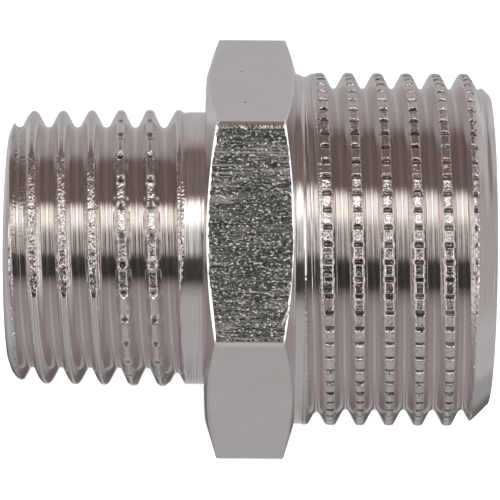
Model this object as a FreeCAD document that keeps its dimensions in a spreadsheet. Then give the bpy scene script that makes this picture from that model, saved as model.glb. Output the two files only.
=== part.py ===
import FreeCAD, Part
import os

import Sketcher

# Reducing hex nipple, G 3/8 male to G 1/4 male, turned from 17 mm hexagon bar.
# The frame: +X runs along the bore towards the 3/8 end, +Z points out of one hexagon flat,
# and the origin is on the axis, half way along the hexagon. All sizes are in millimetres and degrees.
# The real fitting is one piece of metal. Its three regions are modelled as three solids that meet
# face to face on the hexagon's two shoulders: the 1/4 end, the hexagon collar and the 3/8 end.

doc = FreeCAD.newDocument("hex_nipple")
sheet = doc.addObject("Spreadsheet::Sheet", "dims")

DIMENSIONS = [
    ("hex_across_flats", 17.0, "spanner size"),
    ("hex_length", 4.1, "from shoulder to shoulder"),
    ("hex_corner_radius", 0.42, "rounding along the bar's six corners"),
    ("hex_chamfer_angle", 17.0, "corner chamfer, measured from the shoulder plane"),
    ("hex_small_face", 16.0, "diameter where the corner chamfer starts, 1/4 side"),
    ("hex_large_face", 16.3, "diameter where the corner chamfer starts, 3/8 side"),
    ("pitch", 1.337, "19 threads to the inch, right hand"),
    ("flank_angle", 55.0, "Whitworth form"),
    ("root_flat", 0.15, "width of the groove's floor"),
    ("tool_overshoot", 0.15, "how far the thread cutter stands proud of the crests"),
    ("small_crest", 12.85, "1/4 thread, over the crests"),
    ("small_root", 11.14, "1/4 thread, across the groove's floor"),
    ("small_neck", 12.6, "plain neck at the shoulder"),
    ("small_length", 9.05, "shoulder to free end"),
    ("small_neck_length", 0.8, "shoulder to where the crests begin"),
    ("small_first_groove", 1.34, "shoulder to the full groove, on the -Y side"),
    ("small_runout_turns", 0.25, "the groove rises out of the metal over this much of a turn"),
    ("small_tip", 10.9, "diameter of the free end's rim"),
    ("small_tip_step", 12.3, "diameter where the steep chamfer ends"),
    ("small_tip_step_length", 0.42, "length of the steep chamfer"),
    ("small_tip_length", 1.0, "free end to the first full crest"),
    ("small_bore", 8.4, "through the 1/4 end and the hexagon"),
    ("large_crest", 16.4, "3/8 thread, over the crests"),
    ("large_root", 14.95, "3/8 thread, across the groove's floor"),
    ("large_neck", 16.25, "plain neck at the shoulder"),
    ("large_length", 8.95, "shoulder to free end"),
    ("large_neck_length", 0.35, "shoulder to where the crests begin"),
    ("large_first_groove", 1.08, "shoulder to the full groove, on the -Y side"),
    ("large_runout_turns", 0.7, "the groove rises out of the metal over this much of a turn"),
    ("large_tip", 14.34, "diameter of the free end's rim"),
    ("large_tip_step", 15.5, "diameter where the steep chamfer ends"),
    ("large_tip_step_length", 0.58, "length of the steep chamfer"),
    ("large_tip_length", 1.03, "free end to the first full crest"),
    ("large_bore", 11.6, "through the 3/8 end"),
    ("drill_point_angle", 118.0, "cone between the two bores"),
    ("bore_edge_break", 0.2, "chamfer on each mouth of the bore"),
    ("small_notches", 30.0, "notches around the 1/4 crests"),
    ("small_notch_width", 0.45, ""),
    ("small_notch_depth", 0.16, ""),
    ("large_notches", 66.0, "notches around the 3/8 crests"),
    ("large_notch_width", 0.33, ""),
    ("large_notch_depth", 0.13, ""),
]
for row, (alias, value, note) in enumerate(DIMENSIONS, start=1):
    sheet.set(f"A{row}", alias)
    sheet.set(f"B{row}", str(value))
    sheet.set(f"C{row}", note)
    sheet.setAlias(f"B{row}", alias)
doc.recompute()


def new_body(label):
    body = doc.addObject("PartDesign::Body", label)
    body.Label = label
    body.Placement = FreeCAD.Placement()
    return body


def new_sketch(body, name, plane_role):
    """A sketch on one of the body's own origin planes."""
    plane = next(item for item in body.Origin.OriginFeatures if item.Role == plane_role)
    sketch = body.newObject("Sketcher::SketchObject", name)
    sketch.AttachmentSupport = [(plane, "")]
    sketch.MapMode = "FlatFace"
    return sketch


def draw_outline(sketch, corners):
    """Draw a closed outline of straight lines and fix each corner by two formulas on the sheet.

    corners is a list of (horizontal, vertical) formulas, measured from the sketch's origin.
    """
    places = [
        FreeCAD.Vector(float(sketch.evalExpression(across)), float(sketch.evalExpression(up)), 0)
        for across, up in corners
    ]
    count = len(places)
    first = len(sketch.Geometry)
    for index in range(count):
        sketch.addGeometry(Part.LineSegment(places[index], places[(index + 1) % count]), False)
    for index in range(count):
        following = (index + 1) % count
        sketch.addConstraint(Sketcher.Constraint("Coincident", first + index, 2, first + following, 1))
    for index, (across, up) in enumerate(corners):
        line = first + index
        for direction, formula, value in (
            ("DistanceX", across, places[index].x),
            ("DistanceY", up, places[index].y),
        ):
            number = sketch.addConstraint(Sketcher.Constraint(direction, -1, 1, line, 1, value))
            sketch.setExpression(f"Constraints[{number}]", formula)


def revolve(body, kind, name, corners):
    """Turn an outline, given as (along X, radius) formulas, around the X axis.

    kind is Revolution, which adds metal, or Groove, which cuts it away.
    """
    sketch = new_sketch(body, name + "_outline", "XY_Plane")
    draw_outline(sketch, corners)
    feature = body.newObject(f"PartDesign::{kind}", name)
    feature.Profile = sketch
    feature.ReferenceAxis = (sketch, ["H_Axis"])
    feature.Angle = 360
    return feature


def threaded_end(label, size, side):
    """One threaded end with its neck, thread, crest notches and chamfered tip, but no bore.

    size is the prefix of its dimensions on the sheet. side is -1 for the end that
    reaches towards -X and +1 for the end that reaches towards +X.
    """
    body = new_body(label)
    sign = "-1" if side < 0 else "1"

    def along(distance):
        """The X of a point that lies this far beyond the hexagon's shoulder."""
        return f"{sign} * (dims.hex_length / 2 + {distance})"

    length = f"dims.{size}_length"
    neck = f"dims.{size}_neck / 2"
    crest = f"dims.{size}_crest / 2"
    root = f"dims.{size}_root / 2"
    crest_rise = f"({crest} - {neck})"

    revolve(body, "Revolution", f"{size}_blank", [
        (along("0"), "0"),
        (along("0"), neck),
        (along(f"dims.{size}_neck_length"), neck),
        (along(f"dims.{size}_neck_length + {crest_rise}"), crest),
        (along(f"{length} - dims.{size}_tip_length"), crest),
        (along(f"{length} - dims.{size}_tip_step_length"), f"dims.{size}_tip_step / 2"),
        (along(length), f"dims.{size}_tip / 2"),
        (along(length), "0"),
    ])

    # The notches are straight rows along the axis, cut into the crests before the groove parts them.
    notch_start = f"dims.{size}_neck_length"
    notch = new_sketch(body, f"{size}_notch_outline", "YZ_Plane")
    notch.setExpression(".AttachmentOffset.Base.z", along(notch_start))
    half_width = f"dims.{size}_notch_width / 2"
    floor = f"({crest} - dims.{size}_notch_depth)"
    above = f"({crest} + dims.tool_overshoot)"
    draw_outline(notch, [
        (f"-{half_width}", floor),
        (half_width, floor),
        (half_width, above),
        (f"-{half_width}", above),
    ])
    pocket = body.newObject("PartDesign::Pocket", f"{size}_notch")
    pocket.Profile = notch
    pocket.setExpression("Length", f"{length} - {notch_start}")
    pocket.Reversed = side > 0
    doc.recompute()
    notches = body.newObject("PartDesign::PolarPattern", f"{size}_notches")
    notches.Originals = [pocket]
    notches.Axis = (notch, ["N_Axis"])
    notches.Angle = 360
    notches.setExpression("Occurrences", f"dims.{size}_notches")
    body.Tip = notches
    doc.recompute()

    # The groove's cross-section stands on the -Y side, where the groove is first at its full depth.
    middle = along(f"dims.{size}_first_groove")
    flank = "tan(dims.flank_angle / 2)"
    floor_half = "dims.root_flat / 2"
    mouth = f"({crest} + dims.tool_overshoot)"
    mouth_half = f"({floor_half} + ({mouth} - {root}) * {flank})"
    groove = new_sketch(body, f"{size}_groove_outline", "XY_Plane")
    draw_outline(groove, [
        (f"{middle} - {floor_half}", f"-{root}"),
        (f"{middle} + {floor_half}", f"-{root}"),
        (f"{middle} + {mouth_half}", f"-{mouth}"),
        (f"{middle} - {mouth_half}", f"-{mouth}"),
    ])

    def helix(name, height, towards_free_end, angle):
        feature = body.newObject("PartDesign::SubtractiveHelix", name)
        feature.Profile = groove
        feature.ReferenceAxis = (groove, ["H_Axis"])
        feature.Mode = "pitch-height-angle"
        feature.setExpression("Pitch", "dims.pitch")
        feature.setExpression("Height", height)
        feature.setExpression("Angle", angle)
        feature.LeftHanded = False
        feature.Reversed = (side < 0) == towards_free_end
        return feature

    helix(f"{size}_thread", f"{length} - dims.{size}_first_groove + dims.pitch", True, "0")
    doc.recompute()
    runout_height = f"dims.{size}_runout_turns * dims.pitch"
    runout_rise = f"({crest} - {root})"
    helix(f"{size}_thread_runout", runout_height, False, f"atan({runout_rise} / ({runout_height}))")
    doc.recompute()
    return body


small_end = threaded_end("quarter_inch_male_end", "small", -1)
small_free_end = "(-dims.hex_length / 2 - dims.small_length)"
revolve(small_end, "Groove", "small_end_bore", [
    ("-dims.hex_length / 2", "0"),
    ("-dims.hex_length / 2", "dims.small_bore / 2"),
    (f"{small_free_end} + dims.bore_edge_break", "dims.small_bore / 2"),
    (small_free_end, "dims.small_bore / 2 + dims.bore_edge_break"),
    (small_free_end, "0"),
])

large_end = threaded_end("three_eighths_male_end", "large", 1)
cone_length = "((dims.large_bore - dims.small_bore) / 2 / tan(dims.drill_point_angle / 2))"
large_free_end = "(dims.hex_length / 2 + dims.large_length)"
revolve(large_end, "Groove", "large_end_bore", [
    ("dims.hex_length / 2", "0"),
    ("dims.hex_length / 2", "dims.small_bore / 2"),
    (f"dims.hex_length / 2 + {cone_length}", "dims.large_bore / 2"),
    (f"{large_free_end} - dims.bore_edge_break", "dims.large_bore / 2"),
    (large_free_end, "dims.large_bore / 2 + dims.bore_edge_break"),
    (large_free_end, "0"),
])

collar = new_body("hex_collar")
hexagon = new_sketch(collar, "hexagon_outline", "YZ_Plane")
half_flat = "dims.hex_across_flats / 2"
side_length = "(dims.hex_across_flats / sqrt(3))"
draw_outline(hexagon, [
    (side_length, "0"),
    (f"{side_length} / 2", half_flat),
    (f"-{side_length} / 2", half_flat),
    (f"-{side_length}", "0"),
    (f"-{side_length} / 2", f"-{half_flat}"),
    (f"{side_length} / 2", f"-{half_flat}"),
])
bar = collar.newObject("PartDesign::Pad", "hexagon_bar")
bar.Profile = hexagon
bar.Midplane = True
bar.setExpression("Length", "dims.hex_length")
doc.recompute()

bar_edges = [
    f"Edge{number}"
    for number, edge in enumerate(bar.Shape.Edges, start=1)
    if abs(edge.BoundBox.XLength - edge.Length) < 1e-6
]
rounding = collar.newObject("PartDesign::Fillet", "hexagon_corner_rounding")
rounding.Base = (bar, bar_edges)
rounding.setExpression("Radius", "dims.hex_corner_radius")
doc.recompute()

# The corner chamfers are cones: an outline's outer corner lies clear of the hexagon's corners.
clear_radius = "dims.hex_across_flats * 0.6"
for face_side, sign in (("small", "-1"), ("large", "1")):
    start_radius = f"dims.hex_{face_side}_face / 2"
    chamfer_length = f"({clear_radius} - {start_radius}) * tan(dims.hex_chamfer_angle)"
    shoulder = f"{sign} * dims.hex_length / 2"
    revolve(collar, "Groove", f"corner_chamfer_{face_side}", [
        (shoulder, start_radius),
        (shoulder, clear_radius),
        (f"{shoulder} - {sign} * {chamfer_length}", clear_radius),
    ])
    doc.recompute()
revolve(collar, "Groove", "collar_bore", [
    ("-dims.hex_length / 2", "0"),
    ("-dims.hex_length / 2", "dims.small_bore / 2"),
    ("dims.hex_length / 2", "dims.small_bore / 2"),
    ("dims.hex_length / 2", "0"),
])

doc.recompute()
bodies = [small_end, collar, large_end]
for item in doc.Objects:
    if "Invalid" in item.State or "Error" in item.State:
        raise RuntimeError(f"{item.Label} failed: {item.State}")
for body in bodies:
    if body.Shape.isNull() or not body.Shape.isValid() or len(body.Shape.Solids) != 1:
        raise RuntimeError(f"{body.Label} is not one valid solid")

os.makedirs("parts", exist_ok=True)
for body in bodies:
    body.Shape.exportStep(f"parts/{body.Label}.step")
    box = body.Shape.BoundBox
    print(f"{body.Label}: volume {body.Shape.Volume:.2f} mm3, X {box.XMin:.3f} to {box.XMax:.3f}")
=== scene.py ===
import math

import bmesh
import bpy
import numpy as np
from mathutils import Matrix, Vector


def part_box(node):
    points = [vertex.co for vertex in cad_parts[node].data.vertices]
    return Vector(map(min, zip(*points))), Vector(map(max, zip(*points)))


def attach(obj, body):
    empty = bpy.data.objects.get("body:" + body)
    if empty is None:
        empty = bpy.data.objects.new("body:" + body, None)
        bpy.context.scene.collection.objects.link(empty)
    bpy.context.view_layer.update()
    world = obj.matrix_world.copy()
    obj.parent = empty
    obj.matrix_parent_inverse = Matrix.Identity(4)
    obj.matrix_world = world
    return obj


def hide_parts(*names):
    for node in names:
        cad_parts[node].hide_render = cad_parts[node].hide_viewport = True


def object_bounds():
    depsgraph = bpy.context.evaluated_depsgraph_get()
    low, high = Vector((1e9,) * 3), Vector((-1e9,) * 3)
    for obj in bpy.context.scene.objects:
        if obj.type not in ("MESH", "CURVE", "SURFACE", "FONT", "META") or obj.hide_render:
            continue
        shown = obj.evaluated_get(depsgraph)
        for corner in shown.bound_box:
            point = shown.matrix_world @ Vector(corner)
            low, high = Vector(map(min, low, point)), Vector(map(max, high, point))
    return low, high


# A nickel-plated reducing hex nipple lying on a white table.
# The frame is the CAD's: +X along the bore towards the 3/8 end, +Z up out of one hexagon flat.
# Meshes are worked out in millimetres. Materials, table and camera are in metres. Angles are in radians.
# An angle around the axis starts at +Y and grows through +Z to -Y.

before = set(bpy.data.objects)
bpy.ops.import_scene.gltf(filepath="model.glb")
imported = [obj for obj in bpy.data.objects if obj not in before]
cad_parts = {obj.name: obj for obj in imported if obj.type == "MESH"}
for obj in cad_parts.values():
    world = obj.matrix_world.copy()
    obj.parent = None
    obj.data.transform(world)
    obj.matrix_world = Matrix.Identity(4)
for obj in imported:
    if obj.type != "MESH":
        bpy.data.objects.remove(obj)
cad_low, cad_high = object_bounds()

MM = 0.001
PITCH = 25.4 / 19
FLANK = math.radians(55 / 2)
TURN = 2 * math.pi

small_low, small_high = (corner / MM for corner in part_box("quarter_inch_male_end"))
collar_low, collar_high = (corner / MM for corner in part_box("hex_collar"))
large_low, large_high = (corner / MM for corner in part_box("three_eighths_male_end"))

SMALL_BORE = 4.2
LARGE_BORE = 5.8
BORE_BREAK = 0.2
DRILL_CONE = math.radians(118 / 2)

# Both threads. Each pair is where something starts and where it is complete.
CREST_HALF = 0.18
NEAR_CREST = (0.34, 0.17)
CREST_SURFACE = (0.1, 0.03)
CUT_DEPTH = (0.02, 0.07)
RUNOUT_CLEARANCE = 0.2
LIP_WIDTH = 0.025
RAGGED_WIDTH = 0.07
RAGGED_DEPTH = 0.03
DEEPEST_BURR = 0.06
BORE_BELOW_ROOT = 0.8

# Dents in one turn of each thread.
LARGE_DENTS = 66
SMALL_DENTS = 30

# Each turn's dents start further on in a list of random values, so that no two dents side by side match.
RANDOM_VALUES = 997
VALUES_A_TURN = LARGE_DENTS + 1


# ---------------------------------------------------------------- meshes

def mesh_from_rings(name, along, radius, angles, layers):
    """Make a closed piece from a grid of points around the X axis.

    along and radius hold one row per ring and one column per angle. The last row joins the first, and
    the last column, a full turn on, falls on the first. layers maps an attribute's name to a grid of
    values between 0 and 1.
    """
    rows, columns = along.shape
    across = radius * np.cos(angles)[None, :]
    up = radius * np.sin(angles)[None, :]
    points = np.stack([along, across, up], axis=2).reshape(-1, 3) * MM
    row, column = np.meshgrid(np.arange(rows), np.arange(columns - 1), indexing="ij")
    following = (row + 1) % rows
    faces = np.stack([
        row * columns + column,
        row * columns + column + 1,
        following * columns + column + 1,
        following * columns + column,
    ], axis=2).reshape(-1, 4)
    mesh = bpy.data.meshes.new(name)
    mesh.from_pydata(points.tolist(), [], faces.tolist())
    for layer, values in layers.items():
        attribute = mesh.attributes.new(layer, "FLOAT", "POINT")
        attribute.data.foreach_set("value", np.ascontiguousarray(values, np.float32).ravel())
    work = bmesh.new()
    work.from_mesh(mesh)
    bmesh.ops.remove_doubles(work, verts=work.verts, dist=1e-7)
    bmesh.ops.recalc_face_normals(work, faces=work.faces)
    work.to_mesh(mesh)
    work.free()
    piece = bpy.data.objects.new(name, mesh)
    bpy.context.scene.collection.objects.link(piece)
    return piece


def smooth_shade(piece, sharp_angle):
    """Shade smoothly, but keep an edge crisp where its faces turn by more than sharp_angle."""
    piece.data.polygons.foreach_set("use_smooth", [True] * len(piece.data.polygons))
    piece.data.set_sharp_from_angle(angle=sharp_angle)


def ease(value, low, high):
    """0 at or below low, 1 at or above high, and smooth between."""
    share = np.clip((value - low) / (high - low), 0, 1)
    return share * share * (3 - 2 * share)


def groove_height(offset, root_rounding):
    """Height of the thread's wall above the root, at an axial offset from the groove's centre."""
    arc_end = root_rounding * math.cos(FLANK)
    arc_height = root_rounding * (1 - math.sin(FLANK))
    inside = np.clip(offset, 0, arc_end)
    arc = root_rounding - np.sqrt(root_rounding ** 2 - inside ** 2)
    flank = arc_height + (offset - arc_end) / math.tan(FLANK)
    return np.where(offset < arc_end, arc, flank)


def threaded_end(end):
    """One threaded end: neck, thread with notched crests, chamfered tip and bore, as one closed piece.

    end is a dictionary of sizes. Rows of the grid follow the helix, so the crests' edges are crisp,
    and are held back at the shoulder and at the tip, where they close up into plain rings.
    blank_distance and blank_radius give the turned blank's outline, by distance from the shoulder.
    ragged_edges holds a distance from the shoulder, a middle angle and the angle to each side of it.
    """
    rng = np.random.default_rng(end["seed"])
    low, high = end["low"], end["high"]
    angles = end["angles"]
    half_rows = end["row_offsets"]
    pitch_rows = [-offset for offset in reversed(half_rows[1:-1])] + half_rows
    turns = math.ceil((high - low) / PITCH) + 2
    first_turn = math.floor((low - end["groove_start"]) / PITCH) - 2
    starts = [
        end["groove_start"] + PITCH * (first_turn + turn) + offset
        for turn in range(turns + 2)
        for offset in pitch_rows
    ]
    along = np.clip(np.array(starts)[:, None] + PITCH * angles[None, :] / TURN, low, high)
    keep = ~((along == low).all(axis=1) | (along == high).all(axis=1))
    keep |= np.roll(keep, 1) | np.roll(keep, -1)
    along = along[keep]

    # Which turn of the groove is nearest, and how far along the groove it is.
    turn_position = (along - end["groove_start"]) / PITCH - angles[None, :] / TURN
    nearest = np.round(turn_position)
    offset = np.abs(turn_position - nearest) * PITCH
    groove_angle = angles[None, :] + nearest * TURN

    runout = end["runout"](groove_angle)
    root = end["root"] + runout * (end["depth"] + RUNOUT_CLEARANCE)
    crest_offset = PITCH / 2 - offset
    near_crest = ease(crest_offset, *NEAR_CREST)
    widened = np.minimum(offset + end["bulge"](along, angles[None, :]) * near_crest, PITCH / 2)
    wall = root + groove_height(widened, end["root_rounding"])
    distance = np.abs(along - end["shoulder"])
    threaded = ease(distance, end["neck"], end["neck"] + 0.1)
    threaded = threaded * ease(distance, end["tip_distance"] + 0.1, end["tip_distance"])
    rounding = end["crest_rounding"]
    inside = np.minimum(PITCH / 2 - widened, CREST_HALF)
    blank = np.interp(distance, end["blank_distance"], end["blank_radius"])
    # The crests are rounded, and flattened where they were gripped.
    grip = end["grip"](angles)[None, :]
    rounded = rounding - np.sqrt(rounding ** 2 - inside ** 2)
    blank = blank - np.maximum(rounded, end["flattened"] * grip) * threaded
    # Where the flank meets the crest the edge is slightly rounded.
    soft = end["edge_rounding"] + end["runout_rounding"] * runout
    radius = blank - soft * np.log1p(np.exp(np.clip((blank - wall) / soft, -40, 40)))

    crest = ease(radius, blank - CREST_SURFACE[0], blank - CREST_SURFACE[1]) * threaded
    dent = end["dent"](along, angles[None, :], crest_offset, np.floor(turn_position)) * crest
    # cut is how deep a dent is here; the material darkens it with painted shade and makes it rougher.
    cut = ease(dent, *CUT_DEPTH)
    rough = rng.normal(0, 1, radius.shape)
    rough[:, -1] = rough[:, 0]
    lip = crest * (1 - cut) * np.exp(-((crest_offset - end["lip_offset"]) / LIP_WIDTH) ** 2) * grip
    ragged = np.zeros_like(radius)
    for edge, middle, spread in end["ragged_edges"]:
        aside = np.abs((angles - middle + TURN / 2) % TURN - TURN / 2)[None, :]
        band = np.exp(-((distance - edge) / RAGGED_WIDTH) ** 2)
        ragged = ragged + band * ease(aside, spread + 0.2, spread)
    uneven = end["burr"](along) * crest * grip + RAGGED_DEPTH * ragged
    radius = radius - dent + lip * end["lip"] * (0.6 + 0.4 * rough)
    radius = radius - np.minimum(uneven * np.abs(rough), DEEPEST_BURR)
    crest = np.maximum(crest * end["crest_roughness"] * grip, ragged)
    # plain marks the neck and the tip, which the material keeps out of the threads' painted shade.
    plain = ease(distance, end["neck"] + 0.5, end["neck"] + 0.1)
    plain = plain + ease(distance, end["tip_distance"], end["tip_distance"] + 0.25)

    # The tip's face, the bore and the shoulder's face close the piece.
    closing = end["closing"]
    count = len(angles)
    close_along = np.array([[x] * count for x, _ in closing], float)
    close_radius = np.array([[r] * count for _, r in closing], float)
    if end["side"] < 0:
        along = along[::-1]
        radius = radius[::-1]
        crest = crest[::-1]
        cut = cut[::-1]
        plain = plain[::-1]
    none = np.zeros_like(close_along)
    bore = np.array([[1.0 if r < end["root"] - BORE_BELOW_ROOT else 0.0] * count for _, r in closing])
    layers = {
        "crest": np.vstack([crest, none]),
        "cut": np.vstack([cut, none]),
        "plain": np.vstack([plain, none]),
        "bore": np.vstack([np.zeros_like(along), bore]),
    }
    piece = mesh_from_rings(
        end["name"], np.vstack([along, close_along]), np.vstack([radius, close_radius]), angles, layers)
    smooth_shade(piece, math.radians(40))
    return piece


def dent_columns(count, first_angle, steps):
    """Angles around the axis with columns on every dent's walls. steps are shares of one spacing."""
    spacing = TURN / count
    angles = [(number + step) * spacing + first_angle for number in range(count) for step in steps]
    return np.array(angles + [angles[0] + TURN])


def from_dent(angles, count, first_angle, radius):
    """Distance around the crest to the nearest dent's middle, in millimetres, and that dent's number."""
    spacing = TURN / count
    place = (angles - first_angle) / spacing
    number = np.round(place)
    return np.abs(place - number) * spacing * radius, number


def differ(number, turn, low, high):
    """A value between low and high for each dent, the same on every run."""
    values = np.random.default_rng(66).uniform(low, high, RANDOM_VALUES)
    return values[(number + turn * VALUES_A_TURN).astype(int) % RANDOM_VALUES]


# The 3/8 end: even dents around every turn, pressed into the crests without breaking their edges.
LARGE_CREST = 8.2
LARGE_FIRST_DENT = math.radians(5.88)


def large_dent(along, angle, crest_offset, turn):
    """Depth of the dents, in millimetres. Below zero is metal pushed up around them."""
    away, number = from_dent(angle, LARGE_DENTS, LARGE_FIRST_DENT, LARGE_CREST)
    away, number = np.broadcast_to(away, along.shape), np.broadcast_to(number, along.shape)
    half = differ(number, turn, 0.11, 0.16)
    cup = ease(away, half, half - 0.09) * ease(crest_offset, 0.225, 0.135)
    rim = np.exp(-((away - half - 0.035) / 0.03) ** 2) * ease(crest_offset, 0.22, 0.15)
    depth = differ(number, turn + 3, 0.09, 0.15)
    return (depth * cup - 0.012 * rim) * (along > large_low.x + 0.7)


def large_runout(groove_angle):
    """How far the groove has risen out of the metal, 0 to 1, towards the shoulder."""
    turns = np.clip(-groove_angle / TURN - 0.1, 0, None)
    return np.clip((turns / 1.1) ** 1.9, 0, 1)


cone_length = (LARGE_BORE - SMALL_BORE) / math.tan(DRILL_CONE)
large_end = threaded_end({
    "name": "large_threaded_end",
    "seed": 38,
    "side": 1,
    "low": large_low.x,
    "high": large_high.x,
    "shoulder": large_low.x,
    "angles": dent_columns(LARGE_DENTS, LARGE_FIRST_DENT, [
        -0.31, -0.25, -0.2, -0.15, -0.1, -0.05, 0, 0.05, 0.1, 0.15, 0.2, 0.25, 0.31, 0.4, 0.5, 0.6]),
    "row_offsets": [0, 0.08, 0.151, 0.25, 0.38, 0.44, 0.465, 0.49, 0.52, 0.56, 0.61, PITCH / 2],
    "groove_start": 3.77,
    "root": 7.44,
    "depth": 0.72,
    "root_rounding": 0.17,
    "edge_rounding": 0.045,
    "runout_rounding": 0.15,
    "crest_rounding": 0.7,
    "grip": np.ones_like,
    "flattened": 0.0,
    "runout": large_runout,
    "neck": 0.35,
    "blank_distance": [0, 0.35, 0.43, 7.92, 8.16, 8.39, 8.62, 8.95],
    "blank_radius": [8.11, 8.11, 8.16, 8.16, 7.93, 7.735, 7.5, 7.17],
    "tip_distance": 7.95,
    "bulge": lambda along, angle: 0.0,
    "dent": large_dent,
    "lip": 0.012,
    "lip_offset": 0.175,
    "burr": lambda along: 0.005,
    "crest_roughness": 0.75,
    "ragged_edges": [(7.95, 0, TURN / 2)],
    "closing": [
        (large_high.x, 6.9),
        (large_high.x, 6.5),
        (large_high.x, LARGE_BORE + BORE_BREAK),
        (large_high.x - BORE_BREAK, LARGE_BORE),
        ((large_high.x + large_low.x + cone_length) / 2, LARGE_BORE),
        (large_low.x + cone_length, LARGE_BORE),
        (large_low.x, SMALL_BORE),
        (large_low.x, 8.0),
    ],
})

# The 1/4 end: fewer dents, deep beside the hexagon and worn away towards the tip.
SMALL_CREST = 6.4
SMALL_FIRST_DENT = math.radians(101.6)
JAW_MIDDLE = math.radians(83)
JAW_STEP = TURN / 2


def dent_strength(along, angle):
    """1 where the dents are deepest: beside the hexagon, on the two sides that the roller pressed."""
    fresh = 0.12 + 0.88 * ease(along, small_low.x + 4.2, small_low.x + 5.6)
    pressed = 0.72 - 0.28 * np.cos(2 * angle)
    return fresh * pressed * (along < small_high.x - 1.6)


def small_dent(along, angle, crest_offset, turn):
    away, number = from_dent(angle, SMALL_DENTS, SMALL_FIRST_DENT, SMALL_CREST)
    away, number = np.broadcast_to(away, along.shape), np.broadcast_to(number, along.shape)
    reach = np.hypot(away, crest_offset)
    cup = ease(reach, 0.19, 0.04)
    rim = np.exp(-((reach - 0.23) / 0.05) ** 2) * ease(crest_offset, 0.28, 0.14)
    depth = differ(number, turn, 0.08, 0.15)
    return (depth * cup - 0.035 * rim) * dent_strength(along, angle)


def small_bulge(along, angle):
    """Metal pushed out sideways by a dent widens the crest beside it."""
    away, _ = from_dent(angle, SMALL_DENTS, SMALL_FIRST_DENT, SMALL_CREST)
    return 0.15 * np.exp(-(away / 0.2) ** 2) * dent_strength(along, angle) ** 1.5


def small_grip(angle):
    """1 where the two jaws of a vice roughened the crests, and a little between them."""
    aside = np.abs((angle - JAW_MIDDLE + JAW_STEP / 2) % JAW_STEP - JAW_STEP / 2)
    return 0.12 + 0.88 * ease(aside, math.radians(33), math.radians(27))


def small_runout(groove_angle):
    turns = np.clip(groove_angle / TURN - 0.36, 0, None)
    return np.clip((turns / 0.4) ** 1.6, 0, 1)


small_end = threaded_end({
    "name": "small_threaded_end",
    "seed": 14,
    "side": -1,
    "low": small_low.x,
    "high": small_high.x,
    "shoulder": small_high.x,
    "angles": dent_columns(SMALL_DENTS, SMALL_FIRST_DENT - TURN / 2, [
        -0.16, -0.12, -0.08, -0.04, 0, 0.04, 0.08, 0.12, 0.16,
        0.2, 0.25, 0.3, 0.35, 0.4, 0.45, 0.5, 0.55, 0.6, 0.65, 0.7, 0.75, 0.8]),
    "row_offsets": [0, 0.08, 0.163, 0.25, 0.34, 0.42, 0.48, 0.52, 0.56, 0.6, 0.635, PITCH / 2],
    "groove_start": -4.06,
    "root": 11.14 / 2,
    "depth": 0.855,
    "root_rounding": 0.184,
    "edge_rounding": 0.022,
    "runout_rounding": 0.0,
    "crest_rounding": 0.2,
    "grip": small_grip,
    "flattened": 0.06,
    "runout": small_runout,
    "neck": 0.95,
    "blank_distance": [0, 0.98, 1.08, 8.05, 8.53, 8.77, 8.91, 9.05],
    "blank_radius": [6.3, 6.3, 6.41, 6.34, 6.25, 5.99, 5.8, 5.45],
    "tip_distance": 8.6,
    "bulge": small_bulge,
    "dent": small_dent,
    "lip": 0.005,
    "lip_offset": 0.13,
    "burr": lambda along: 0.008 + 0.014 * ease(-along, 5.0, 7.0),
    "crest_roughness": 1.0,
    "ragged_edges": [(1.0, math.radians(86), math.radians(14)), (8.6, 0, TURN / 2)],
    "closing": [
        (small_low.x, 5.2),
        (small_low.x, 4.8),
        (small_low.x, SMALL_BORE + BORE_BREAK),
        (small_low.x + BORE_BREAK, SMALL_BORE),
        ((small_low.x + small_high.x) / 2, SMALL_BORE),
        (small_high.x, SMALL_BORE),
        (small_high.x, 6.0),
    ],
})


# The hexagon collar.
HALF_FLATS = collar_high.z
CORNER_ROUNDING = 0.42
CHAMFER = math.tan(math.radians(17))
CORNER_STEPS = [-0.0265, -0.0207, -0.012, 0.0, 0.012, 0.0207, 0.0265]
CHAMFER_START_SMALL_SIDE = 8.0
CHAMFER_START_LARGE_SIDE = 8.15
EDGE_WEAR = 0.09
WEAR_SLOPE = math.tan(math.radians(25))


def hexagon_radius(angles):
    """Distance from the axis to the hexagon's side, with its corners rounded. A corner is at angle 0."""
    side = TURN / 6
    from_corner = np.abs(angles / side - np.round(angles / side)) * side
    flat = HALF_FLATS / np.cos(side / 2 - from_corner)
    centre = (HALF_FLATS - CORNER_ROUNDING) / math.cos(side / 2)
    tangent = math.atan2(CORNER_ROUNDING * 0.5, centre + CORNER_ROUNDING * math.cos(side / 2))
    inside = np.minimum(from_corner, tangent)
    corner = centre * np.cos(inside) + np.sqrt(CORNER_ROUNDING ** 2 - (centre * np.sin(inside)) ** 2)
    return np.where(from_corner < tangent, corner, flat)


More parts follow.
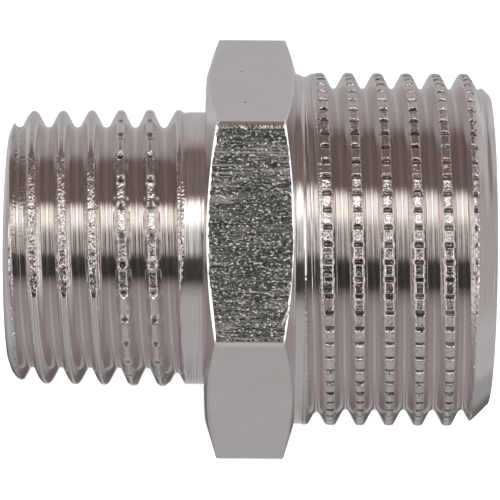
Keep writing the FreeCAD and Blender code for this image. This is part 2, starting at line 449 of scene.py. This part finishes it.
def hex_collar():
    side = TURN / 6
    steps = CORNER_STEPS + list(np.linspace(0.045, 0.955, 47))
    angles = np.array([(number + step) * side for number in range(6) for step in steps])
    angles = np.append(angles, angles[0] + TURN)
    outer = hexagon_radius(angles)
    count = len(angles)
    from_corner = np.abs(angles / side - np.round(angles / side)) * side
    on_flat = np.isclose(outer * np.cos(side / 2 - from_corner), HALF_FLATS, atol=1e-4)

    rows = []

    def row(x, r, flat, edge):
        rows.append((np.broadcast_to(x, (count,)), np.broadcast_to(r, (count,)), flat, edge))

    rng = np.random.default_rng(17)

    def worn_width(heavy, corner_wear):
        """Width of the worn band along a flat's curved edge, uneven from place to place.

        corner_wear widens it beside the top flat's corner on the +Y side.
        """
        fine = rng.normal(0, 1, count - 1)
        broad = np.convolve(np.tile(fine, 3), np.ones(7) / 7, "same")[count - 1:2 * count - 2]
        width = heavy * EDGE_WEAR * np.clip(1 + 0.3 * fine + 0.8 * broad, 0.3, 1.6)
        widened = 1 + corner_wear * np.exp(-((angles - side) / 0.11) ** 2)
        return np.append(width, width[0]) * widened

    faces = (
        (collar_low.x, CHAMFER_START_SMALL_SIDE, 1, worn_width(0.95, 1.5)),
        (collar_high.x, CHAMFER_START_LARGE_SIDE, -1, worn_width(0.7, 0.3)),
    )
    flat_limits = []
    row(faces[0][0], SMALL_BORE, 0, 0)
    for number, (shoulder, start, inward, width) in enumerate(faces):
        chamfer_rows = []
        reach = outer - width * WEAR_SLOPE
        for share in (0.0, 0.35, 0.7, 1.0):
            step = start + (reach - start) * share
            chamfer_rows.append((shoulder + inward * (step - start) * CHAMFER, step, 0, 0))
        worn_x = shoulder + inward * (reach - start) * CHAMFER
        for share in (0.03, 0.5, 0.97):
            chamfer_rows.append((worn_x + inward * width * share, reach + (outer - reach) * share, 0, 1))
        flat_limits.append(worn_x + inward * width)
        chamfer_rows.append((flat_limits[-1], outer, 1, 0))
        if number == 1:
            for share in np.linspace(0.02, 0.98, 49):
                row(flat_limits[0] + (flat_limits[1] - flat_limits[0]) * share, outer, 1, 0)
            chamfer_rows.reverse()
        for x, r, flat, edge in chamfer_rows:
            row(x, r, flat, edge)
    row(faces[1][0], SMALL_BORE, 0, 0)
    row(0.0, SMALL_BORE, 0, 0)

    along = np.stack([x for x, _, _, _ in rows])
    radius = np.stack([r for _, r, _, _ in rows])
    flat = np.stack([np.full(count, value, float) for _, _, value, _ in rows]) * on_flat[None, :]
    edge = np.stack([np.full(count, value, float) for _, _, _, value in rows])
    corner = 1.0 - on_flat.astype(float)
    outside = radius >= outer - 1e-6
    from_top = np.abs(angles - TURN / 4)
    top = (from_top < side / 2 - 0.023).astype(float)
    # broken: random points beside the top flat that the corners' painted highlight skips. They take the
    # top flat's painted dark reflection instead.
    broken = (from_top < side / 2 - 0.01) * (rng.random(radius.shape) < 0.6)
    # edge: the worn bands and the rounded corners, which the material paints brighter as a painted
    # highlight.
    edge = np.maximum(edge, corner[None, :] * outside * ~broken)
    piece = mesh_from_rings("collar_hexagon", along, radius, angles, {
        "flat": flat,
        # The top flat and the broken edge points: a painted dark reflection in the material, and a
        # pebbled bump.
        "painted_dark_and_pebbled": np.maximum(flat * top[None, :], broken * outside),
        "edge": edge,
        "bore": (radius <= SMALL_BORE + 0.01).astype(float),
    })
    smooth_shade(piece, math.radians(18))
    return piece


collar = hex_collar()


# ---------------------------------------------------------------- materials

def add_node(tree, kind, inputs=None, **settings):
    """Add a node. An input given as a socket is linked, and any other value is set on it."""
    node = tree.nodes.new(kind)
    for key, value in settings.items():
        setattr(node, key, value)
    for key, value in (inputs or {}).items():
        if isinstance(value, bpy.types.NodeSocket):
            tree.links.new(value, node.inputs[key])
        else:
            node.inputs[key].default_value = value
    return node


def calculate(tree, operation, first, second=None, third=None, clamp=False):
    inputs = {0: first}
    if second is not None:
        inputs[1] = second
    if third is not None:
        inputs[2] = third
    return add_node(tree, "ShaderNodeMath", inputs, operation=operation, use_clamp=clamp).outputs[0]


def remap(tree, value, low, high, to_low, to_high):
    """Map low..high onto to_low..to_high, held at both ends."""
    return add_node(tree, "ShaderNodeMapRange", {
        "Value": value, "From Min": low, "From Max": high, "To Min": to_low, "To Max": to_high,
    }).outputs["Result"]


def mix_colour(tree, share, first, second, blend="MIX"):
    return add_node(tree, "ShaderNodeMix", {0: share, 6: first, 7: second},
                    data_type="RGBA", blend_type=blend).outputs[2]


def stretched_noise(tree, place, scale, detail, roughness=0.55):
    """Noise whose grain is set by scale, in grains a metre along X, Y and Z."""
    mapped = add_node(tree, "ShaderNodeMapping", {"Vector": place, "Scale": scale}).outputs[0]
    return add_node(tree, "ShaderNodeTexNoise", {
        "Vector": mapped, "Scale": 1.0, "Detail": detail, "Roughness": roughness,
    }).outputs["Fac"]


def scratch(tree, place, start, end, width, wobble):
    """1 along a scratch between two points in millimetres, fading to 0 at its ragged sides."""
    start, end = Vector(start) * MM, Vector(end) * MM
    run = end - start
    vector = "ShaderNodeVectorMath"
    from_start = add_node(tree, vector, {0: place, 1: start}, operation="SUBTRACT").outputs[0]
    share = add_node(tree, vector, {0: from_start, 1: run / run.length_squared},
                     operation="DOT_PRODUCT").outputs["Value"]
    held = calculate(tree, "MULTIPLY", share, 1.0, clamp=True)
    nearest = add_node(tree, vector, {0: run, "Scale": held}, operation="SCALE").outputs[0]
    gap = add_node(tree, vector, {0: from_start, 1: nearest}, operation="DISTANCE")
    away = calculate(tree, "MULTIPLY_ADD", wobble, -2 * width * MM, gap.outputs["Value"])
    return remap(tree, away, width * MM * 0.2, -width * MM * 0.6, 0, 1)


def layer(tree, name):
    return add_node(tree, "ShaderNodeAttribute", attribute_name=name).outputs["Fac"]


def bump(tree, height, strength, depth, below=None):
    inputs = {"Height": height, "Strength": strength, "Distance": depth}
    if below is not None:
        inputs["Normal"] = below
    return add_node(tree, "ShaderNodeBump", inputs).outputs["Normal"]


def new_metal(name):
    material = bpy.data.materials.new(name)
    material.use_nodes = True
    tree = material.node_tree
    tree.nodes.clear()
    shader = add_node(tree, "ShaderNodeBsdfPrincipled")
    shader.inputs["Metallic"].default_value = 1.0
    output = add_node(tree, "ShaderNodeOutputMaterial")
    tree.links.new(shader.outputs[0], output.inputs[0])
    return material, tree, shader


NICKEL = (0.80, 0.775, 0.765, 1)
NICKEL_DULL = (0.66, 0.62, 0.60, 1)
# Painted glints: a brighter nickel for crest specks, scratches, worn edges, nicks and flecks on the top
# flat.
PAINTED_GLINT_NICKEL = (0.90, 0.885, 0.87, 1)
# Painted shade for the bottoms of the dents and for pits on the crests.
DENT_SHADE = (0.16, 0.14, 0.13, 1)
BRASS_TINT = (0.78, 0.67, 0.50, 1)
# Painted dark reflection: near-black colour for the top flat, standing in for the dark camera that it
# mirrors.
PAINTED_DARK_REFLECTION = (0.038, 0.041, 0.04, 1)
STAIN = (0.12, 0.1, 0.095, 1)
# Painted shade: a darker nickel for the threaded part, so that its grooves look shaded.
PAINTED_GROOVE_SHADE = (0.75, 0.715, 0.70, 1)


# Scratches and stains: start and end in millimetres, and half width.
THREAD_SCRATCHES = [
    ((2.45, 3.36, 7.40), (3.1, 3.18, 7.48), 0.07),
    ((-7.09, 3.72, 4.83), (-6.81, 3.22, 5.18), 0.06),
]
TIP_STAIN = ((-10.72, 5.1, 2.9), (-10.72, 4.6, 3.7), 0.14)
FLAT_NICKS = [
    ((1.45, -4.0, 8.5), (1.76, -3.25, 8.46), 0.08),
    ((-1.7, -1.1, 8.5), (-1.72, -1.0, 8.5), 0.09),
]
FACE_PITS = [
    ((-0.44, 7.82, 3.46), (-0.42, 7.82, 3.46), 0.05),
    ((-0.26, 6.01, 6.59), (-0.24, 6.01, 6.59), 0.06),
]


def marks(tree, place, places, wobble):
    """The strongest of several scratches."""
    found = [scratch(tree, place, start, end, width, wobble) for start, end, width in places]
    strongest = found[0]
    for mask in found[1:]:
        strongest = calculate(tree, "MAXIMUM", strongest, mask)
    return strongest


def turned_nickel():
    """Bright plating over turned brass: fine rings from the tool, rough crests with painted glints and
    painted shade in pits, painted shade over the threads' grooves, and rougher notches darkened with
    painted shade.
    """
    material, tree, shader = new_metal("turned_nickel_plate")
    place = add_node(tree, "ShaderNodeTexCoord").outputs["Object"]
    crest = layer(tree, "crest")
    cut = layer(tree, "cut")
    plain = layer(tree, "plain")
    bore = layer(tree, "bore")

    rings = stretched_noise(tree, place, (26000, 260, 260), 3)
    broad_rings = stretched_noise(tree, place, (8000, 110, 110), 2)
    cloud = stretched_noise(tree, place, (420, 420, 420), 4)
    speckle = stretched_noise(tree, place, (9500, 9500, 9500), 1, 0.6)

    # Painted shade: the threaded part, crests and grooves alike, is darker than the plain neck and tip.
    tone = mix_colour(tree, plain, PAINTED_GROOVE_SHADE, NICKEL)
    tone = mix_colour(tree, remap(tree, cloud, 0.4, 0.75, 0, 0.3), tone, NICKEL_DULL)
    # Painted glints: random specks on the crests are made brighter.
    tone = mix_colour(tree, calculate(tree, "MULTIPLY", crest, remap(tree, speckle, 0.45, 0.62, 0, 0.35)),
                      tone, PAINTED_GLINT_NICKEL)
    # Painted shade: random pits on the crests and the bottoms of the dents are mixed towards DENT_SHADE.
    painted_pit_shade = calculate(tree, "MULTIPLY", crest, remap(tree, speckle, 0.43, 0.34, 0, 0.35))
    tone = mix_colour(tree, painted_pit_shade, tone, DENT_SHADE)
    uneven = stretched_noise(tree, place, (2600, 2600, 2600), 1)
    shaded = calculate(tree, "MULTIPLY", cut, remap(tree, uneven, 0.35, 0.6, 0.72, 0.98))
    tone = mix_colour(tree, shaded, tone, DENT_SHADE)
    tone = mix_colour(tree, calculate(tree, "MULTIPLY", bore, 0.55), tone, BRASS_TINT)
    # The scratches are painted brighter as painted glints, and they are given a bump.
    scratched = marks(tree, place, THREAD_SCRATCHES, speckle)
    tone = mix_colour(tree, scratched, tone, PAINTED_GLINT_NICKEL)
    tone = mix_colour(tree, marks(tree, place, [TIP_STAIN], cloud), tone, STAIN)
    tree.links.new(tone, shader.inputs["Base Color"])

    rough = calculate(tree, "ADD", remap(tree, rings, 0.3, 0.7, 0.07, 0.12),
                      remap(tree, cloud, 0.4, 0.75, 0.0, 0.04))
    rough = calculate(tree, "ADD", rough, calculate(tree, "MULTIPLY", crest, -0.03))
    rough = calculate(tree, "ADD", rough, calculate(tree, "MULTIPLY", cut, 0.06), clamp=True)
    tree.links.new(rough, shader.inputs["Roughness"])

    height = bump(tree, rings, 0.16, 4e-6)
    streaks = calculate(tree, "MULTIPLY", broad_rings, calculate(tree, "MULTIPLY_ADD", plain, 0.9, 0.1))
    height = bump(tree, streaks, 1.0, 3.2e-5, height)
    height = bump(tree, calculate(tree, "MULTIPLY", speckle, crest), 0.9, 3e-5, height)
    height = bump(tree, calculate(tree, "MULTIPLY", speckle, scratched), 1.0, 1e-4, height)
    tree.links.new(height, shader.inputs["Normal"])
    return material


def drawn_nickel():
    """Plating over the drawn bar: grainy flats, the top flat painted nearly black as a painted dark
    reflection with painted glints in it, worn edges with a painted highlight, turned chamfers.
    """
    material, tree, shader = new_metal("drawn_hexagon_nickel_plate")
    place = add_node(tree, "ShaderNodeTexCoord").outputs["Object"]
    flat = layer(tree, "flat")
    painted_dark_and_pebbled = layer(tree, "painted_dark_and_pebbled")
    edge = layer(tree, "edge")
    bore = layer(tree, "bore")

    grain = stretched_noise(tree, place, (700, 15000, 15000), 3, 0.6)
    pebble = stretched_noise(tree, place, (9500, 14500, 14500), 3, 0.72)
    glint_flecks = stretched_noise(tree, place, (6500, 11500, 11500), 3, 0.7)
    patches = stretched_noise(tree, place, (350, 500, 500), 2)
    cloud = stretched_noise(tree, place, (500, 500, 500), 4)
    rings = stretched_noise(tree, place, (26000, 260, 260), 3)

    tone = mix_colour(tree, remap(tree, cloud, 0.35, 0.7, 0, 0.3), NICKEL, NICKEL_DULL)
    # Painted glints: grain lines, pebbles and flecks brighten the top flat's painted dark reflection.
    lines = calculate(tree, "MULTIPLY", remap(tree, grain, 0.48, 0.62, 0, 0.4),
                      remap(tree, patches, 0.4, 0.6, 0.3, 1))
    bright = calculate(tree, "MAXIMUM", remap(tree, pebble, 0.5, 0.68, 0, 0.38), lines)
    bright = calculate(tree, "MAXIMUM", bright, remap(tree, glint_flecks, 0.56, 0.625, 0, 1))
    # Painted dark reflection on the top flat, lightened to bright nickel where the painted glints fall.
    painted_dark_flat = mix_colour(tree, bright, PAINTED_DARK_REFLECTION, PAINTED_GLINT_NICKEL)
    tone = mix_colour(tree, painted_dark_and_pebbled, tone, painted_dark_flat)
    nicked = marks(tree, place, FLAT_NICKS, pebble)
    # Painted highlight on the worn edges, on the rounded corners and on the nicks.
    tone = mix_colour(tree, calculate(tree, "MAXIMUM", edge, nicked), tone, PAINTED_GLINT_NICKEL)
    tone = mix_colour(tree, marks(tree, place, FACE_PITS, pebble), tone, STAIN)
    tone = mix_colour(tree, calculate(tree, "MULTIPLY", bore, 0.55), tone, BRASS_TINT)
    tree.links.new(tone, shader.inputs["Base Color"])

    rough = calculate(tree, "ADD", remap(tree, cloud, 0.3, 0.7, 0.16, 0.22),
                      calculate(tree, "MULTIPLY", edge, -0.06))
    tree.links.new(rough, shader.inputs["Roughness"])

    off_flat = calculate(tree, "SUBTRACT", 1.0, flat)
    height = bump(tree, calculate(tree, "MULTIPLY", rings, off_flat), 0.2, 5e-6)
    height = bump(tree, calculate(tree, "MULTIPLY", grain, flat), 0.6, 1.2e-5, height)
    height = bump(tree, calculate(tree, "MULTIPLY", pebble, painted_dark_and_pebbled), 1.0, 2.5e-5, height)
    height = bump(tree, nicked, 1.0, 5e-5, height)
    tree.links.new(height, shader.inputs["Normal"])
    return material


turned = turned_nickel()
drawn = drawn_nickel()
small_end.data.materials.append(turned)
large_end.data.materials.append(turned)
collar.data.materials.append(drawn)

for piece, node in (
    (small_end, "quarter_inch_male_end"),
    (collar, "hex_collar"),
    (large_end, "three_eighths_male_end"),
):
    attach(piece, "root")
    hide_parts(node)


# ---------------------------------------------------------------- table, light and camera

def add_floor():
    """A plain white table. The metal's reflections come from the studio around it."""
    size = 0.6
    mesh = bpy.data.meshes.new("table")
    level = cad_low.z
    mesh.from_pydata(
        [(-size, -size, level), (size, -size, level), (size, size, level), (-size, size, level)],
        [], [(0, 1, 2, 3)])
    floor = bpy.data.objects.new("table", mesh)
    bpy.context.scene.collection.objects.link(floor)
    material = bpy.data.materials.new("white_table")
    material.use_nodes = True
    shader = material.node_tree.nodes["Principled BSDF"]
    shader.inputs["Base Color"].default_value = (0.93, 0.93, 0.93, 1)
    shader.inputs["Roughness"].default_value = 0.9
    shader.inputs["Specular IOR Level"].default_value = 0.0
    mesh.materials.append(material)
    floor.visible_glossy = False


def add_studio():
    """The studio as the metal sees it, in bands around the X axis, and even pale light for the table.

    A band is placed by its angle from straight up, positive towards +Y. sideways is how far a
    direction leans along X, from 0 to 1, and chooses between the sets of bands.
    """
    world = bpy.data.worlds.new("studio")
    bpy.context.scene.world = world
    world.use_nodes = True
    tree = world.node_tree
    tree.nodes.clear()
    direction = add_node(tree, "ShaderNodeTexCoord").outputs["Generated"]
    axes = add_node(tree, "ShaderNodeSeparateXYZ", {0: direction})
    around = calculate(tree, "ARCTAN2", axes.outputs["Y"], axes.outputs["Z"])
    place = calculate(tree, "MULTIPLY_ADD", around, 1 / TURN, 0.5)
    sideways = calculate(tree, "ABSOLUTE", axes.outputs["X"])

    brightest = 2.0

    def bands(stops):
        ramp = add_node(tree, "ShaderNodeValToRGB", {0: place})
        elements = ramp.color_ramp.elements
        while len(elements) > 1:
            elements.remove(elements[-1])
        for number, (degrees, colour) in enumerate(stops):
            position = degrees / 360 + 0.5
            stop = elements[0] if number == 0 else elements.new(position)
            stop.position = position
            stop.color = tuple(part / brightest for part in colour) + (1,)
        return ramp.outputs[0]

    table = (0.51, 0.49, 0.50)
    near_table = (0.46, 0.44, 0.445)
    low_table = (0.36, 0.345, 0.35)
    brown = (0.225, 0.165, 0.147)
    deep_brown = (0.155, 0.112, 0.098)
    black = (0.03, 0.025, 0.024)
    middle = bands([
        (-180, (0.12, 0.1, 0.1)), (-145, (0.26, 0.24, 0.24)), (-125, (0.33, 0.31, 0.31)),
        (-100, (0.46, 0.44, 0.45)), (-48, (0.43, 0.41, 0.41)), (-38, (0.26, 0.24, 0.24)),
        (-32, black), (-14, black),
        (-8, (0.75, 0.72, 0.69)), (4, (0.95, 0.91, 0.88)), (12, (1.15, 1.11, 1.06)),
        (20, (1.9, 1.85, 1.78)), (33, (1.9, 1.85, 1.78)), (40, deep_brown), (86, deep_brown),
        (97, (0.38, 0.34, 0.33)), (115, (0.48, 0.46, 0.47)), (180, table),
    ])
    lens = bands([
        (-180, table), (-130, near_table), (-60, near_table), (-42, (0.4, 0.38, 0.38)), (-31, black),
        (8, black), (20, (1.35, 1.31, 1.27)), (29, (1.35, 1.31, 1.27)), (37, brown),
        (84, brown), (102, table), (180, table),
    ])
    beside = bands([
        (-180, low_table), (-90, low_table), (-50, (0.3, 0.28, 0.28)), (-30, black),
        (0, (0.12, 0.11, 0.11)), (40, brown), (84, brown), (100, table), (140, (0.6, 0.58, 0.59)),
        (170, (0.6, 0.58, 0.59)), (180, low_table),
    ])
    lamps = bands([
        (-180, table), (-90, table), (-70, (0.6, 0.59, 0.58)), (-40, (1.4, 1.38, 1.36)),
        (36, (1.4, 1.38, 1.36)), (46, (0.26, 0.21, 0.2)), (84, (0.26, 0.21, 0.2)),
        (100, table), (180, table),
    ])
    ends = (0.42 / brightest, 0.39 / brightest, 0.38 / brightest, 1)
    seen = mix_colour(tree, remap(tree, sideways, 0.06, 0.12, 0, 1), lens, middle)
    seen = mix_colour(tree, remap(tree, sideways, 0.33, 0.46, 0, 1), seen, beside)
    seen = mix_colour(tree, remap(tree, sideways, 0.6, 0.66, 0, 1), seen, lamps)
    seen = mix_colour(tree, remap(tree, sideways, 0.88, 0.95, 0, 1), seen, ends)
    metal_light = add_node(tree, "ShaderNodeBackground", {"Color": seen, "Strength": brightest})
    table_light = add_node(tree, "ShaderNodeBackground", {"Color": (1, 1, 1, 1), "Strength": 2.1})
    path = add_node(tree, "ShaderNodeLightPath")
    both = add_node(tree, "ShaderNodeMixShader", {
        0: path.outputs["Is Glossy Ray"], 1: table_light.outputs[0], 2: metal_light.outputs[0]})
    output = add_node(tree, "ShaderNodeOutputWorld")
    tree.links.new(both.outputs[0], output.inputs[0])


def add_camera():
    """A long lens, almost straight above, looking down a little from the -Y side."""
    distance = 0.158
    lean = math.radians(4.6)
    side_step = 0.49 * MM
    roll = math.radians(0.36)
    data = bpy.data.cameras.new("camera")
    data.lens = 245
    data.sensor_width = 36
    data.shift_x = -0.022
    data.shift_y = -0.003
    camera = bpy.data.objects.new("camera", data)
    bpy.context.scene.collection.objects.link(camera)
    camera.matrix_world = (
        Matrix.Translation((side_step, 0, 0))
        @ Matrix.Rotation(lean, 4, "X")
        @ Matrix.Translation((0, 0, distance))
        @ Matrix.Rotation(roll, 4, "Z")
    )
    data.clip_start = 0.01
    bpy.context.scene.camera = camera


add_floor()
add_studio()
add_camera()
bpy.context.scene.view_settings.view_transform = "Standard"
